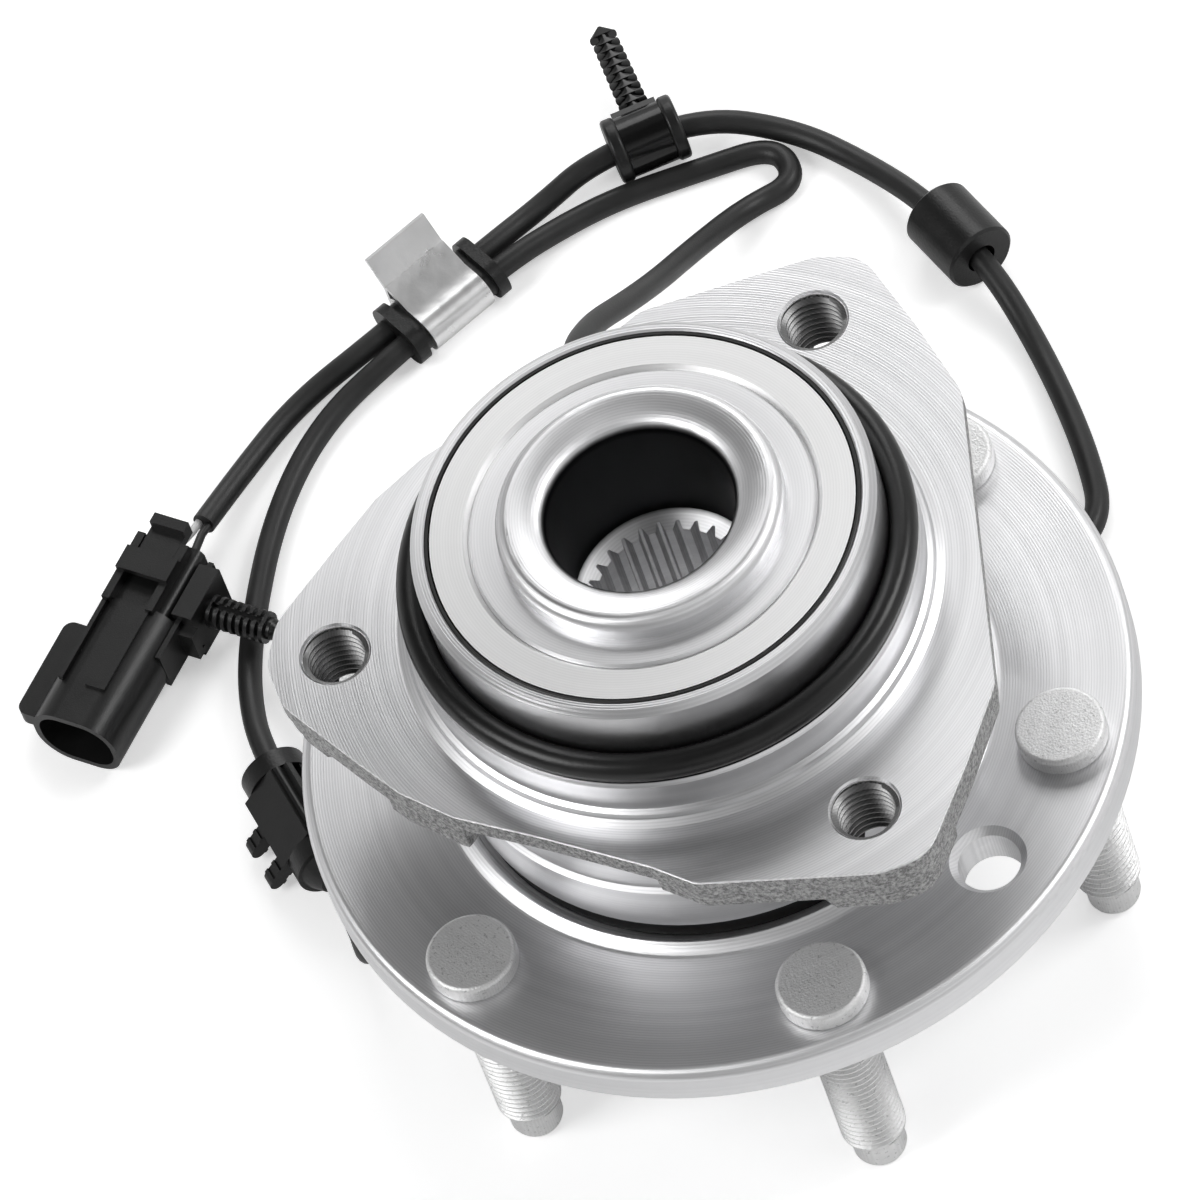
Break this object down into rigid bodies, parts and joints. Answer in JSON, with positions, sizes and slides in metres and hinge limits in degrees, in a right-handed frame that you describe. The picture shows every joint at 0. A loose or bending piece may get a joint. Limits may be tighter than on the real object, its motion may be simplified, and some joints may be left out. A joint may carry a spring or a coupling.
{
  "type": "wheel hub bearing",
  "caption": "Flanged wheel hub bearing unit with wheel studs, a lobed mounting flange, seals, ball rows, and a speed sensor cable with clips and a connector.",
  "frame": {"origin": "centre of the stud circle on the face that the wheel bolts against", "axes": "+Z along the bearing axis, from the wheel towards the vehicle; +X from the bearing axis away from the single mounting lobe, which lies at -X"},
  "size_m": [0.2097, 0.2608, 0.1184],
  "materials": {
    "machined_steel": "turned",
    "stud_steel": "phosphated thread, bright head",
    "bearing_steel": "ground",
    "ball_steel": "polished",
    "sintered_steel": "dull",
    "seal_steel": "satin",
    "forged_steel": "turned faces on a dark forging",
    "screw_steel": "zinc plated",
    "clamp_steel": "zinc plated",
    "terminal_brass": "tinned",
    "black_rubber": "matt",
    "cable_jacket": "satin",
    "cage_nylon": "matt",
    "black_plastic": "matt",
    "gloss_plastic": "glossy",
    "white_insulation": "satin",
    "black_insulation": "satin"
  },
  "bodies": {
    "outer_ring": {"inboard_seal": "black_rubber", "outboard_seal": "black_rubber", "outer_ring": "forged_steel", "pilot_o_ring": "black_rubber", "speed_sensor": "black_plastic", "sensor_o_ring": "black_rubber", "sensor_screw": "screw_steel", "sensor_cable": "cable_jacket", "strand_grommet": "black_rubber", "cable_clamp": "clamp_steel", "rubber_sleeve": "black_rubber", "tree_sleeve": "black_rubber", "tree_clip": "gloss_plastic", "clip_sleeve": "black_rubber", "two_pin_clip": "black_plastic", "connector_housing": "black_plastic", "connector_seal": "black_rubber", "connector_terminals": "terminal_brass", "rail_clip": "gloss_plastic", "wire_white": "white_insulation", "wire_black": "black_insulation"},
    "hub": {"wheel_hub": "machined_steel", "wheel_studs": "stud_steel", "inner_ring": "bearing_steel", "tone_ring": "sintered_steel", "inboard_slinger": "seal_steel"},
    "ball_row_outboard": {"balls_outboard": "ball_steel", "cage_outboard": "cage_nylon"},
    "ball_row_inboard": {"balls_inboard": "ball_steel", "cage_inboard": "cage_nylon"},
    "connector_lock": {"connector_lock": "black_plastic"}
  },
  "joints": [
    {"name": "hub_spin", "type": "hinge", "parent": "outer_ring", "child": "hub", "pos_m": [0, 0, 0.035], "axis": [0, 0, 1], "continuous": true},
    {"name": "outboard_row_spin", "type": "hinge", "parent": "outer_ring", "child": "ball_row_outboard", "pos_m": [0, 0, 0.0215], "axis": [0, 0, 1], "continuous": true},
    {"name": "inboard_row_spin", "type": "hinge", "parent": "outer_ring", "child": "ball_row_inboard", "pos_m": [0, 0, 0.05], "axis": [0, 0, 1], "continuous": true},
    {"name": "lock_slide", "type": "slide", "parent": "outer_ring", "child": "connector_lock", "axis": [-0.5139, -0.8578, 0], "range_m": [0, 0.004]}
  ],
  "couplings": [
    {"joint": "outboard_row_spin", "follows": "hub_spin", "ratio": 0.4218},
    {"joint": "inboard_row_spin", "follows": "hub_spin", "ratio": 0.4218}
  ]
}
